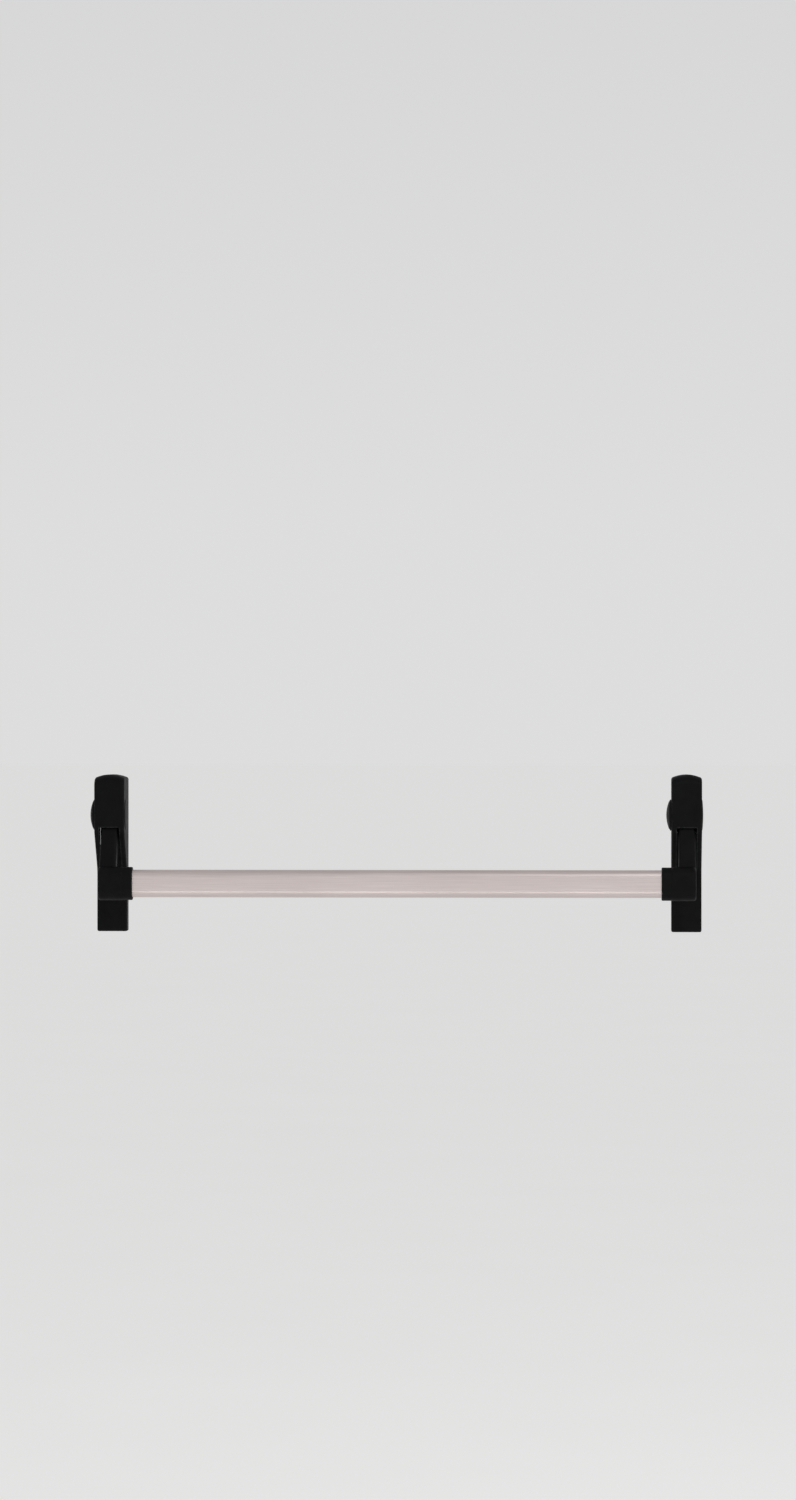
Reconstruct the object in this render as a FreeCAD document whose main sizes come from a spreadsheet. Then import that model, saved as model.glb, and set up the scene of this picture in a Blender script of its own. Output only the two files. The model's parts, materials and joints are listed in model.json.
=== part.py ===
import FreeCAD, Part
import math
import os

import PartDesign
import Sketcher

# Panic exit bar, in millimetres.
# Origin: centre of the lock-side fixing holes, on the door face.
# +X runs along the bar to the hinge side, +Z is up, and the user stands on the -Y side.

os.makedirs("parts", exist_ok=True)
doc = FreeCAD.newDocument("PanicExitBar")

# Every size, with its meaning.
SIZES = [
    ("CaseSpacing", 840, "between the centres of the two cases"),
    ("CaseWidth", 44, "cover, side to side"),
    ("CaseHeight", 230, "cover, bottom to the top of the dome"),
    ("HeadDepth", 62, "cover, over the pivot"),
    ("BaseDepth", 21, "cover, behind the bar"),
    ("HeadLowHeight", 31, "where the head starts to taper"),
    ("TaperLowHeight", -25, "where the taper meets the thin base"),
    ("CoverWall", 2.5, "cover thickness"),
    ("DomeRise", 5, "height of the domed top"),
    ("SlotWidth", 29, "arm slot in the cover"),
    ("SlotTopHeight", 37.5, "top of the arm slot"),
    ("PlateWidth", 38, "base plate"),
    ("PlateThick", 3, "base plate and folded brackets"),
    ("HoleDiameter", 5.5, "fixing holes"),
    ("HoleSpacingAcross", 26, "fixing holes, along the bar"),
    ("HoleSpacingUp", 190, "fixing holes, up the door"),
    ("PivotOut", 38, "pivot axis from the door"),
    ("PivotHeight", 56, "pivot axis above the case centre"),
    ("PivotDiameter", 10, "pivot pin"),
    ("BarOut", 85.5, "bar centre from the door, at rest"),
    ("BarHeight", -43, "bar centre from the case centre, at rest"),
    ("BarTall", 40, "bar section, up"),
    ("BarDeep", 20, "bar section, out"),
    ("BarWall", 1.5, "bar tube thickness"),
    ("SocketGap", 0.1, "between the bar and its socket"),
    ("SocketDepth", 40, "length of bar inside each arm"),
    ("SocketWall", 4, "arm around the bar"),
    ("CollarReach", 37, "case centre to the mouth of the socket"),
    ("SwingAngle", 23, "arm, rest to fully pressed"),
    ("ArmWidth", 26, "arm inside the case"),
    ("HubDiameter", 28, "arm around the pivot"),
    ("CrankReach", 19, "pivot axis to crank pin"),
    ("CrankPinDiameter", 5, "crank pin"),
    ("FollowerTurn", 42, "follower, rest to fully pressed"),
    ("FollowerDiameter", 27.8, "follower flange"),
    ("SpindleSquare", 9, "across the flats of the spindle"),
    ("SpindleReach", 60, "spindle behind the door face"),
    ("SlideThick", 2.5, "slide plate"),
    ("SlideOut", 10.5, "back of the slide plate from the door"),
    ("SlideNarrow", 16, "slide between its guide posts"),
    ("SlideWide", 34, "slide around the follower"),
    ("BridgeOut", 14.2, "back of the guide bridge from the door"),
    ("BridgeThick", 2.2, "guide bridge"),
    ("PostDiameter", 6, "guide posts"),
    ("RunningGap", 0.05, "radial clearance of a turning or sliding fit"),
    ("PinGap", 0.15, "clearance each side of a pin in its slot"),
    ("SpringOut", 17.5, "spring axis from the door"),
    ("SpringRadius", 5, "spring, centre line of the wire"),
    ("SpringWire", 1.6, "spring wire diameter"),
    ("SpringPitch", 4.2, "spring, between coils at rest"),
    ("SpringLowHeight", 69.5, "moving end of the spring at rest"),
    ("SpringTopHeight", 101, "fixed end of the spring"),
    ("RodDiameter", 5, "rod through the spring"),
    ("BufferGap", 0.3, "between the slide and a buffer at the end of its travel"),
    ("CapDiameter", 45, "pivot caps"),
    ("LargeCapRim", 2.5, "large cap, straight rim"),
    ("LargeCapDome", 5, "large cap, dome beyond the rim"),
    ("SmallCapRim", 0.8, "small cap, straight rim"),
    ("SmallCapDome", 1.2, "small cap, dome beyond the rim"),
]


class Size:
    """A number together with the sheet formula that it comes from."""

    def __init__(self, value, formula):
        self.value = float(value)
        self.formula = formula

    def __add__(self, other):
        other = as_size(other)
        return Size(self.value + other.value, f"({self.formula} + {other.formula})")

    def __sub__(self, other):
        other = as_size(other)
        return Size(self.value - other.value, f"({self.formula} - {other.formula})")

    def __mul__(self, other):
        other = as_size(other)
        return Size(self.value * other.value, f"({self.formula} * {other.formula})")

    def __truediv__(self, other):
        other = as_size(other)
        return Size(self.value / other.value, f"({self.formula} / {other.formula})")

    def __radd__(self, other):
        return as_size(other) + self

    def __rsub__(self, other):
        return as_size(other) - self

    def __rmul__(self, other):
        return as_size(other) * self

    def __neg__(self):
        return as_size(0) - self


def as_size(number):
    """A Size as it is, or a plain number as a Size."""
    if isinstance(number, Size):
        return number
    return Size(number, f"({float(number)})")


def root(size):
    """Square root of a size."""
    return Size(math.sqrt(size.value), f"sqrt({size.formula})")


def sine(angle):
    """Sine of an angle in degrees."""
    return Size(math.sin(math.radians(angle.value)), f"sin({angle.formula})")


def cosine(angle):
    """Cosine of an angle in degrees."""
    return Size(math.cos(math.radians(angle.value)), f"cos({angle.formula})")


def make_sheet():
    """Write the sizes into a spreadsheet and return them by name."""
    sheet = doc.addObject("Spreadsheet::Sheet", "Dims")
    sizes = {}
    for row, (alias, value, meaning) in enumerate(SIZES, 1):
        sheet.set(f"A{row}", meaning)
        sheet.set(f"B{row}", str(value))
        sheet.setAlias(f"B{row}", alias)
        sizes[alias] = Size(value, f"Dims.{alias}")
    doc.recompute()
    return sizes


D = make_sheet()


# ---------------------------------------------------------------- building helpers

def bind(item, prop, size):
    """Tie one property to its formula."""
    item.setExpression(prop, as_size(size).formula)


def place(item, x, y, z):
    """Tie an object's position to its formulas."""
    for axis, size in zip("xyz", (x, y, z)):
        bind(item, "Placement.Base." + axis, size)


def block(name, x_span, y_span, z_span):
    """Rectangular block between three pairs of limits."""
    item = doc.addObject("Part::Box", name)
    spans = (x_span, y_span, z_span)
    for prop, (low, high) in zip(("Length", "Width", "Height"), spans):
        bind(item, prop, as_size(high) - low)
    place(item, x_span[0], y_span[0], z_span[0])
    return item


TURN_TO_AXIS = {
    "X": FreeCAD.Rotation(FreeCAD.Vector(0, 1, 0), 90),
    "Y": FreeCAD.Rotation(FreeCAD.Vector(1, 0, 0), -90),
    "Z": FreeCAD.Rotation(),
}


def axis_point(axis, along, centre):
    """A point given along an axis, with its other two coordinates in X, Y, Z order."""
    first, second = centre
    if axis == "X":
        return along, first, second
    if axis == "Y":
        return first, along, second
    return first, second, along


def rod(name, axis, span, centre, radius):
    """Round bar along X, Y or Z between two limits."""
    item = doc.addObject("Part::Cylinder", name)
    item.Placement.Rotation = TURN_TO_AXIS[axis]
    bind(item, "Radius", radius)
    bind(item, "Height", as_size(span[1]) - span[0])
    place(item, *axis_point(axis, span[0], centre))
    return item


def cone(name, axis, span, centre, radii):
    """Cone along X, Y or Z between two limits, with its two end radii."""
    item = doc.addObject("Part::Cone", name)
    item.Placement.Rotation = TURN_TO_AXIS[axis]
    bind(item, "Radius1", radii[0])
    bind(item, "Radius2", radii[1])
    bind(item, "Height", as_size(span[1]) - span[0])
    place(item, *axis_point(axis, span[0], centre))
    return item


def hexagon(name, axis, span, centre, across_flats):
    """Six-sided bar, used for screw sockets."""
    item = doc.addObject("Part::Prism", name)
    item.Polygon = 6
    item.Placement.Rotation = TURN_TO_AXIS[axis]
    bind(item, "Circumradius", as_size(across_flats) / math.sqrt(3))
    bind(item, "Height", as_size(span[1]) - span[0])
    place(item, *axis_point(axis, span[0], centre))
    return item


def new_sketch(body, plane):
    """Empty sketch on one of a body's own planes: XY, YZ or XZ."""
    sketch = body.newObject("Sketcher::SketchObject", body.Name + "_sketch")
    support = [item for item in body.Origin.OriginFeatures if item.Role == plane + "_Plane"]
    sketch.AttachmentSupport = [(support[0], "")]
    sketch.MapMode = "FlatFace"
    return sketch


def bind_constraint(sketch, kind, geometry, end, size):
    """Distance of a sketch point from the sketch origin, tied to its formula."""
    size = as_size(size)
    index = sketch.addConstraint(
        Sketcher.Constraint(kind, -1, 1, geometry, end, size.value))
    sketch.setExpression(f"Constraints[{index}]", size.formula)


def add_side(sketch, start, end, centre):
    """Add one line or arc. Return which of its ends are the start and the end."""
    if centre is None:
        sketch.addGeometry(Part.LineSegment(start, end), False)
        return 1, 2
    spoke, other = start - centre, end - centre
    clockwise = spoke.cross(other).z < -1e-6
    first, last = (other, spoke) if clockwise else (spoke, other)
    circle = Part.Circle(centre, FreeCAD.Vector(0, 0, 1), spoke.Length)
    angles = [math.atan2(ray.y, ray.x) for ray in (first, last)]
    if angles[1] < angles[0]:
        angles[1] += 2 * math.pi
    sketch.addGeometry(Part.ArcOfCircle(circle, *angles), False)
    return (2, 1) if clockwise else (1, 2)


def vector(pair):
    """Sketch vector of two sizes."""
    return FreeCAD.Vector(as_size(pair[0]).value, as_size(pair[1]).value, 0)


def draw(sketch, outline):
    """Closed outline. A corner is (u, v), or (u, v, centre) if an arc leaves it.

    Outlines run anticlockwise, so that a half circle bulges outwards.
    """
    first = sketch.GeometryCount
    ends = []
    for corner, following in zip(outline, outline[1:] + outline[:1]):
        centre = vector(corner[2]) if len(corner) == 3 else None
        ends.append(add_side(sketch, vector(corner), vector(following), centre))
    for number, corner in enumerate(outline):
        here, beyond = first + number, (number + 1) % len(outline)
        sketch.addConstraint(Sketcher.Constraint(
            "Coincident", here, ends[number][1], first + beyond, ends[beyond][0]))
        bind_constraint(sketch, "DistanceX", here, ends[number][0], corner[0])
        bind_constraint(sketch, "DistanceY", here, ends[number][0], corner[1])
        if len(corner) == 3:
            chord = vector(outline[beyond]) - vector(corner)
            flat = abs(chord.x) > abs(chord.y)
            kind, size = ("DistanceY", corner[2][1]) if flat else ("DistanceX", corner[2][0])
            bind_constraint(sketch, kind, here, 3, size)


def prism(name, plane, outlines, start, length):
    """Outlines on the YZ, XZ or XY plane, made `length` thick from `start`.

    The thickness runs towards +X, -Y or +Z. An outline inside another is a hole.
    """
    body = doc.addObject("PartDesign::Body", name)
    sketch = new_sketch(body, plane)
    for outline in outlines:
        draw(sketch, outline)
    pad = body.newObject("PartDesign::Pad", name + "_pad")
    pad.Profile = sketch
    bind(pad, "Length", length)
    normal = {"YZ": "x", "XZ": "y", "XY": "z"}[plane]
    bind(body, "Placement.Base." + normal, start)
    return body


def turned(name, axis, profile, origin):
    """Piece turned about X, Y or Z from (along the axis, radius) points."""
    body = doc.addObject("PartDesign::Body", name)
    sketch = new_sketch(body, {"X": "XY", "Y": "YZ", "Z": "XZ"}[axis])
    if axis == "Z":
        profile = [swap_corner(corner) for corner in profile]
    draw(sketch, profile)
    turn = body.newObject("PartDesign::Revolution", name + "_turn")
    turn.Profile = sketch
    turn.ReferenceAxis = (sketch, ["V_Axis" if axis == "Z" else "H_Axis"])
    place(body, *origin)
    return body


def swap_corner(corner):
    """The same outline corner with its two directions exchanged."""
    if len(corner) == 2:
        return corner[1], corner[0]
    return corner[1], corner[0], (corner[2][1], corner[2][0])


def oval(y, z, half_straight, radius):
    """Upright oval outline: two half circles joined by straight sides."""
    top, low = z + half_straight, z - half_straight
    return [
        (y + radius, low),
        (y + radius, top, (y, top)),
        (y - radius, top),
        (y - radius, low, (y, low)),
    ]


def fuse(name, pieces):
    """Join pieces into one solid."""
    item = doc.addObject("Part::MultiFuse", name)
    item.Shapes = pieces
    item.Refine = True
    return item


def cut(name, base, tools):
    """Remove every tool from a piece."""
    item = doc.addObject("Part::Cut", name)
    item.Base = base
    item.Tool = tools[0] if len(tools) == 1 else fuse(name + "_tools", tools)
    item.Refine = True
    return item


def group(name, pieces):
    """Keep separate pieces together in one object."""
    item = doc.addObject("Part::Compound", name)
    item.Links = pieces
    return item


def round_edges(body, name, radius, wanted):
    """Round the body's edges that pass a test, given in the body's own axes."""
    doc.recompute()
    base = body.Tip
    numbers = [n for n, edge in enumerate(base.Shape.Edges, 1) if wanted(edge)]
    fillet = body.newObject("PartDesign::Fillet", name)
    fillet.Base = (base, [f"Edge{n}" for n in numbers])
    bind(fillet, "Radius", radius)
    return fillet


def runs_along_x(y, z):
    """Test for the edge that runs along X through a point of the YZ plane."""
    y, z = as_size(y).value, as_size(z).value

    def wanted(edge):
        ends = [vertex.Point for vertex in edge.Vertexes]
        return len(ends) == 2 and all(
            abs(end.y - y) < 0.01 and abs(end.z - z) < 0.01 for end in ends)
    return wanted


def lies_in_plane(*places):
    """Test for an edge in one of the planes at these X of the body's own axes.

    Edges on the door face are left out.
    """
    places = [as_size(place).value for place in places]

    def wanted(edge):
        ends = [vertex.Point for vertex in edge.Vertexes]
        in_plane = any(all(abs(end.x - place) < 0.01 for end in ends) for place in places)
        return in_plane and any(end.y < -0.01 for end in ends)
    return wanted


def long_in_plane(*places):
    """Test for a long edge in one of the planes at these X of the body's own axes."""
    in_plane = lies_in_plane(*places)
    return lambda edge: in_plane(edge) and edge.Length > 50


# ---------------------------------------------------------------- derived sizes

HALF = D["CaseWidth"] / 2
INNER_HALF = HALF - D["CoverWall"]
TOP = D["CaseHeight"] / 2
BOTTOM = -TOP
SHOULDER = TOP - D["DomeRise"]

PIVOT = (-D["PivotOut"], D["PivotHeight"])
BAR = (-D["BarOut"], D["BarHeight"])
PIVOT_RADIUS = D["PivotDiameter"] / 2
HUB_RADIUS = D["HubDiameter"] / 2
ARM_HALF = D["ArmWidth"] / 2

BAR_RADIUS = D["BarDeep"] / 2
BAR_STRAIGHT = (D["BarTall"] - D["BarDeep"]) / 2
SOCKET_RADIUS = BAR_RADIUS + D["SocketGap"]
COLLAR_RADIUS = BAR_RADIUS + D["SocketWall"]
SOCKET_END = D["CollarReach"] - D["SocketDepth"]

# The crank starts half the swing below the level of the pivot, and ends half above it.
HALF_SWING = D["SwingAngle"] / 2
HALF_TURN = D["FollowerTurn"] / 2
TRAVEL = D["CrankReach"] * sine(HALF_SWING) * 2
FOLLOWER_REACH = TRAVEL / (sine(HALF_TURN) * 2)
CRANK = (PIVOT[0] + D["CrankReach"] * cosine(HALF_SWING),
         PIVOT[1] - D["CrankReach"] * sine(HALF_SWING))
CRANK_RADIUS = D["CrankPinDiameter"] / 2

PLATE = D["PlateThick"]
SLIDE_BACK = -D["SlideOut"]
SLIDE_FRONT = SLIDE_BACK - D["SlideThick"]
BRIDGE_BACK = -D["BridgeOut"]
BRIDGE_FRONT = BRIDGE_BACK - D["BridgeThick"]
NARROW_HALF = D["SlideNarrow"] / 2
WIDE_HALF = D["SlideWide"] / 2
POST_RADIUS = D["PostDiameter"] / 2
POST_X = NARROW_HALF + POST_RADIUS + D["RunningGap"]
POST_HEIGHTS = (26, -28)
POST_SHANK = 2
ROD_RADIUS = D["RodDiameter"] / 2
TAIL_LOW = -40
FOLLOWER_FRONT = -9.9
FOLLOWER_BACK = -(PLATE + 0.2)
JOURNAL_RADIUS = 5.5
BUSH_OUTER = 11
BUSH_INNER = 9.5
FIXING_HOLES = [(side * D["HoleSpacingAcross"] / 2, level * D["HoleSpacingUp"] / 2)
                for side in (-1, 1) for level in (-1, 1)]
POSTS = [(side * POST_X, height) for side in (-1, 1) for height in POST_HEIGHTS]
CHASSIS_RIVETS = [(x, z) for x in (-9.5, 9.5) for z in (36, 76)]
COVER_SCREW_X = (-12, 12)
COVER_SCREW_Y = -10
FLANGE_TOP = BOTTOM + D["CoverWall"] + PLATE + 0.2
BAR_SCREW_REACH = (7, 29)


def along_arm(distance, forward):
    """Point in the YZ plane: a distance from the pivot to the bar, and one to its front."""
    out, down = BAR[0] - PIVOT[0], BAR[1] - PIVOT[1]
    length = root(out * out + down * down)
    unit = (out / length, down / length)
    return (PIVOT[0] + unit[0] * distance + unit[1] * forward,
            PIVOT[1] + unit[1] * distance - unit[0] * forward)


def across(case_x, direction, near, far):
    """X limits of a piece that lies between two distances from a case centre.

    The direction is 1 if it faces the hinge side, and -1 if it faces the lock side.
    """
    if direction > 0:
        return case_x + near, case_x + far
    return case_x - far, case_x - near


# ---------------------------------------------------------------- pieces of a case

def make_base_plate(side, x):
    """Plate on the door, with a folded flange at the bottom for the cover screws."""
    plate = block(side + "_plate", (x - D["PlateWidth"] / 2, x + D["PlateWidth"] / 2),
                  (-PLATE, 0), (FLANGE_TOP - PLATE, SHOULDER - 4))
    flange = block(side + "_flange", (x - 17, x + 17), (-16, -PLATE),
                   (FLANGE_TOP - PLATE, FLANGE_TOP))
    holes = []
    for number, (dx, z) in enumerate(FIXING_HOLES):
        holes.append(rod(f"{side}_fixing_{number}", "Y", (-PLATE - 1, 1), (x + dx, z),
                         D["HoleDiameter"] / 2))
    for number, (dx, z) in enumerate(POSTS):
        holes.append(rod(f"{side}_post_hole_{number}", "Y", (-PLATE - 1, 1), (x + dx, z),
                         POST_SHANK))
    for number, (dx, z) in enumerate(CHASSIS_RIVETS + [(0, 92)]):
        holes.append(rod(f"{side}_rivet_hole_{number}", "Y", (-PLATE - 1, 1), (x + dx, z), 2.5))
    for number, dx in enumerate(COVER_SCREW_X):
        holes.append(rod(f"{side}_thread_{number}", "Z", (FLANGE_TOP - PLATE - 1, FLANGE_TOP + 1),
                         (x + dx, COVER_SCREW_Y), 2))
    holes.append(rod(side + "_follower_hole", "Y", (-PLATE - 1, 1), (x, 0), BUSH_OUTER))
    return cut(side + "_base_plate", fuse(side + "_plate_blank", [plate, flange]), holes)


def make_chassis(side, x):
    """Folded bracket: a web on the base plate and two cheeks that hold the pivot pin."""
    web_low, web_high = 31, 81
    cheek_low, cheek_high = PIVOT[1] - 20, PIVOT[1] + 20
    nose = 12
    web = block(side + "_web", (x - 17.5, x + 17.5), (-2 * PLATE, -PLATE), (web_low, web_high))
    outline = [
        (-PLATE, cheek_low),
        (-PLATE, cheek_high),
        (PIVOT[0] + 8, PIVOT[1] + nose),
        (PIVOT[0], PIVOT[1] + nose, PIVOT),
        (PIVOT[0], PIVOT[1] - nose),
        (PIVOT[0] + 8, PIVOT[1] - nose),
    ]
    cheeks = [prism(f"{side}_cheek_{number}", "YZ", [outline], x + start, 2.5)
              for number, start in enumerate((-17.5, 15))]
    tools = [rod(side + "_cheek_bore", "X", (x - 20, x + 20), PIVOT, PIVOT_RADIUS)]
    for number, (dx, z) in enumerate(CHASSIS_RIVETS):
        tools.append(rod(f"{side}_web_hole_{number}", "Y", (-3 * PLATE, 0), (x + dx, z), 2.5))
    return cut(side + "_chassis", fuse(side + "_chassis_blank", [web] + cheeks), tools)


def make_rivets(name, x, spots):
    """Round-headed rivets through the base plate and the bracket on it."""
    profile = [
        (0, 0),
        (0, 2.5),
        (-2 * PLATE, 2.5),
        (-2 * PLATE, 4.4),
        (-2 * PLATE - 0.8, 4.4),
        (-2 * PLATE - 1.8, 3),
        (-2 * PLATE - 1.8, 0),
    ]
    return [turned(f"{name}_{number}", "Y", profile, (x + dx, 0, z))
            for number, (dx, z) in enumerate(spots)]


def cover_outline(out, low, high, front):
    """Side view of the cover: thin base, taper and deep head."""
    return [
        (0, low),
        (0, high),
        (-front, high),
        (-front, D["HeadLowHeight"]),
        (-out, D["TaperLowHeight"]),
        (-out, low),
    ]


def make_cover_form(side, x):
    """Outside form of the cover, with its domed top and rounded edges."""
    outline = cover_outline(D["BaseDepth"], BOTTOM, TOP, D["HeadDepth"])
    body = prism(side + "_cover_form", "YZ", [outline], x - HALF, D["CaseWidth"])
    round_edges(body, side + "_brow", 14, runs_along_x(-D["HeadDepth"], TOP))
    round_edges(body, side + "_chin", 18, runs_along_x(-D["HeadDepth"], D["HeadLowHeight"]))
    round_edges(body, side + "_neck", 24, runs_along_x(-D["BaseDepth"], D["TaperLowHeight"]))
    round_edges(body, side + "_foot", 4, runs_along_x(-D["BaseDepth"], BOTTOM))
    round_edges(body, side + "_sides", D["CoverWall"], lies_in_plane(0, D["CaseWidth"]))
    return body


def make_dome(side, x):
    """Front view of the cover: straight sides and an arc at the top."""
    rise = D["DomeRise"]
    radius = (HALF * HALF + rise * rise) / (rise * 2)
    outline = [
        (-HALF, BOTTOM),
        (HALF, BOTTOM),
        (HALF, SHOULDER, (0, TOP - radius)),
        (-HALF, SHOULDER),
    ]
    body = prism(side + "_dome", "XZ", [outline], 0, D["HeadDepth"] + 1)
    bind(body, "Placement.Base.x", x)
    return body


def make_cover(side, x):
    """Cast cover, open at the back, with the arm slot and the holes for its fittings."""
    blanks = [make_cover_form(side, x), make_dome(side, x)]
    form = doc.addObject("Part::MultiCommon", side + "_cover_blank")
    form.Shapes = blanks
    form.Refine = True
    wall = D["CoverWall"]
    ceiling = SHOULDER - 3
    inside = cover_outline(D["BaseDepth"] - wall, BOTTOM + wall, ceiling, D["HeadDepth"] - wall)
    hollow = prism(side + "_cover_inside", "YZ", [inside], x - INNER_HALF, INNER_HALF * 2)
    round_edges(hollow, side + "_inside_brow", 10, runs_along_x(wall - D["HeadDepth"], ceiling))
    tools = [
        hollow,
        block(side + "_arm_slot", (x - D["SlotWidth"] / 2, x + D["SlotWidth"] / 2),
              (-D["HeadDepth"] - 1, -D["BaseDepth"] + wall + 0.5),
              (D["TaperLowHeight"] + 2, D["SlotTopHeight"])),
        rod(side + "_cap_holes", "X", (x - HALF - 1, x + HALF + 1), PIVOT, 8),
    ]
    for number, dx in enumerate(COVER_SCREW_X):
        centre = (x + dx, COVER_SCREW_Y)
        tools.append(rod(f"{side}_screw_hole_{number}", "Z", (BOTTOM - 1, BOTTOM + 5), centre, 2.2))
        tools.append(cone(f"{side}_screw_seat_{number}", "Z", (BOTTOM, BOTTOM + 2), centre, (4, 2)))
    return cut(side + "_cover", form, tools)


def make_cover_screws(side, x):
    """Countersunk screws with hexagon sockets, flush with the bottom of the cover."""
    screws = []
    for number, dx in enumerate(COVER_SCREW_X):
        centre = (x + dx, COVER_SCREW_Y)
        profile = [(0, 0), (0, 3.9), (1.95, 1.95), (12, 1.95), (12, 0)]
        blank = turned(f"{side}_cover_screw_blank_{number}", "Z", profile, centre + (BOTTOM,))
        socket = hexagon(f"{side}_cover_screw_socket_{number}", "Z", (BOTTOM - 1, BOTTOM + 1.4),
                         centre, 2.5)
        screws.append(cut(f"{side}_cover_screw_{number}", blank, [socket]))
    return group(side + "_cover_screws", screws)


def make_cap(name, x, face, direction, rim, dome):
    """Round cap on one side of the cover: a rim, a shallow dome and a spigot."""
    radius = D["CapDiameter"] / 2
    sphere = (radius * radius + dome * dome) / (dome * 2)
    spigot = D["CoverWall"] - 0.1
    profile = [
        (-spigot * direction, 0),
        (-spigot * direction, 7.95),
        (0, 7.95),
        (0, radius),
        (rim * direction, radius, ((rim + dome - sphere) * direction, 0)),
        ((rim + dome) * direction, 0),
    ]
    return turned(name, "X", profile, (x + face, PIVOT[0], PIVOT[1]))


def make_pivot_pin(side, x):
    """Pivot pin with a groove near each end."""
    end, groove_far, groove_near, groove = 19.3, 18.7, 17.6, 4.2
    profile = [
        (-end, 0), (-end, PIVOT_RADIUS - 0.3), (-end + 0.3, PIVOT_RADIUS),
        (-groove_far, PIVOT_RADIUS), (-groove_far, groove), (-groove_near, groove),
        (-groove_near, PIVOT_RADIUS), (groove_near, PIVOT_RADIUS), (groove_near, groove),
        (groove_far, groove), (groove_far, PIVOT_RADIUS), (end - 0.3, PIVOT_RADIUS),
        (end, PIVOT_RADIUS - 0.3), (end, 0),
    ]
    return turned(side + "_pivot_pin", "X", profile, (x, PIVOT[0], PIVOT[1]))


def make_pin_clips(side, x):
    """Open retaining rings in the grooves of the pivot pin."""
    clips = []
    for number, low in enumerate((-18.65, 17.65)):
        ring = rod(f"{side}_ring_{number}", "X", (x + low, x + low + 1), PIVOT, 7.5)
        hole = rod(f"{side}_ring_hole_{number}", "X", (x + low - 1, x + low + 2), PIVOT, 4.25)
        gap = block(f"{side}_ring_gap_{number}", (x + low - 1, x + low + 2),
                    (PIVOT[0], PIVOT[0] + 9), (PIVOT[1] - 2.5, PIVOT[1] + 2.5))
        clips.append(cut(f"{side}_pin_clip_{number}", ring, [hole, gap]))
    return group(side + "_pin_clips", clips)


def make_guides(side, x):
    """Four shouldered posts, and the bridge that keeps the slide between them."""
    profile = [
        (0, 0),
        (0, POST_SHANK),
        (-PLATE, POST_SHANK),
        (-PLATE, POST_RADIUS),
        (BRIDGE_BACK, POST_RADIUS),
        (BRIDGE_BACK, POST_SHANK),
        (BRIDGE_FRONT, POST_SHANK),
        (BRIDGE_FRONT, 0),
    ]
    posts = [turned(f"{side}_post_{number}", "Y", profile, (x + dx, 0, z))
             for number, (dx, z) in enumerate(POSTS)]
    bridge = block(side + "_bridge_blank", (x - WIDE_HALF, x + WIDE_HALF),
                   (BRIDGE_FRONT, BRIDGE_BACK), (POST_HEIGHTS[1] - 4.5, POST_HEIGHTS[0] + 4.5))
    holes = [rod(f"{side}_bridge_hole_{number}", "Y", (BRIDGE_FRONT - 1, BRIDGE_BACK + 1),
                 (x + dx, z), POST_SHANK) for number, (dx, z) in enumerate(POSTS)]
    holes.append(rod(side + "_bridge_journal", "Y", (BRIDGE_FRONT - 1, BRIDGE_BACK + 1),
                     (x, 0), JOURNAL_RADIUS + D["RunningGap"]))
    return group(side + "_guide_posts", posts), cut(side + "_guide_bridge", bridge, holes)


def make_slide(side, x):
    """Plate lifted by the crank pin, with a fork for that pin and a seat for the spring.

    Its window clears the follower's front journal. The notch beside the window holds the
    follower's pin, which starts as far below the follower's centre as the slide's half travel.
    """
    ear_low = D["SpringLowHeight"] - D["SlideThick"]
    wide_low, wide_high = -17, 12.5
    outline = [
        (-NARROW_HALF, TAIL_LOW), (NARROW_HALF, TAIL_LOW),
        (NARROW_HALF, wide_low), (WIDE_HALF, wide_low),
        (WIDE_HALF, wide_high), (NARROW_HALF, wide_high),
        (NARROW_HALF, D["SpringLowHeight"]), (-NARROW_HALF, D["SpringLowHeight"]),
        (-NARROW_HALF, wide_high), (-WIDE_HALF, wide_high),
        (-WIDE_HALF, wide_low), (-NARROW_HALF, wide_low),
    ]
    window_half = JOURNAL_RADIUS + 0.8
    notch = D["CrankPinDiameter"] / 2 + D["PinGap"]
    notch_end = FOLLOWER_REACH + notch + 0.1
    middle = -TRAVEL / 2
    window = [
        (-window_half, middle * 2 - window_half), (window_half, middle * 2 - window_half),
        (window_half, middle - notch), (notch_end, middle - notch),
        (notch_end, middle + notch), (window_half, middle + notch),
        (window_half, window_half), (-window_half, window_half),
    ]
    plate = prism(side + "_slide_plate", "XZ", [outline, window], SLIDE_BACK, D["SlideThick"])
    bind(plate, "Placement.Base.x", x)
    tip = PIVOT[0] + D["CrankReach"] - 2.6
    tab = block(side + "_slide_tab", (x - 1.5, x + 1.5), (tip, SLIDE_FRONT),
                (CRANK[1] - 8, CRANK[1] + 5.5))
    ear = block(side + "_slide_ear", (x - NARROW_HALF, x + NARROW_HALF), (-24, SLIDE_FRONT),
                (ear_low, D["SpringLowHeight"]))
    fork = block(side + "_slide_fork", (x - 3, x + 3), (tip - 1, SLIDE_FRONT - 2.2),
                 (CRANK[1] - CRANK_RADIUS - D["PinGap"], CRANK[1] + CRANK_RADIUS + D["PinGap"]))
    hole = rod(side + "_slide_rod_hole", "Z", (ear_low - 1, D["SpringLowHeight"] + 1),
               (x, -D["SpringOut"]), ROD_RADIUS + D["RunningGap"])
    return cut(side + "_slide", fuse(side + "_slide_blank", [plate, tab, ear]), [fork, hole])


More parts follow.
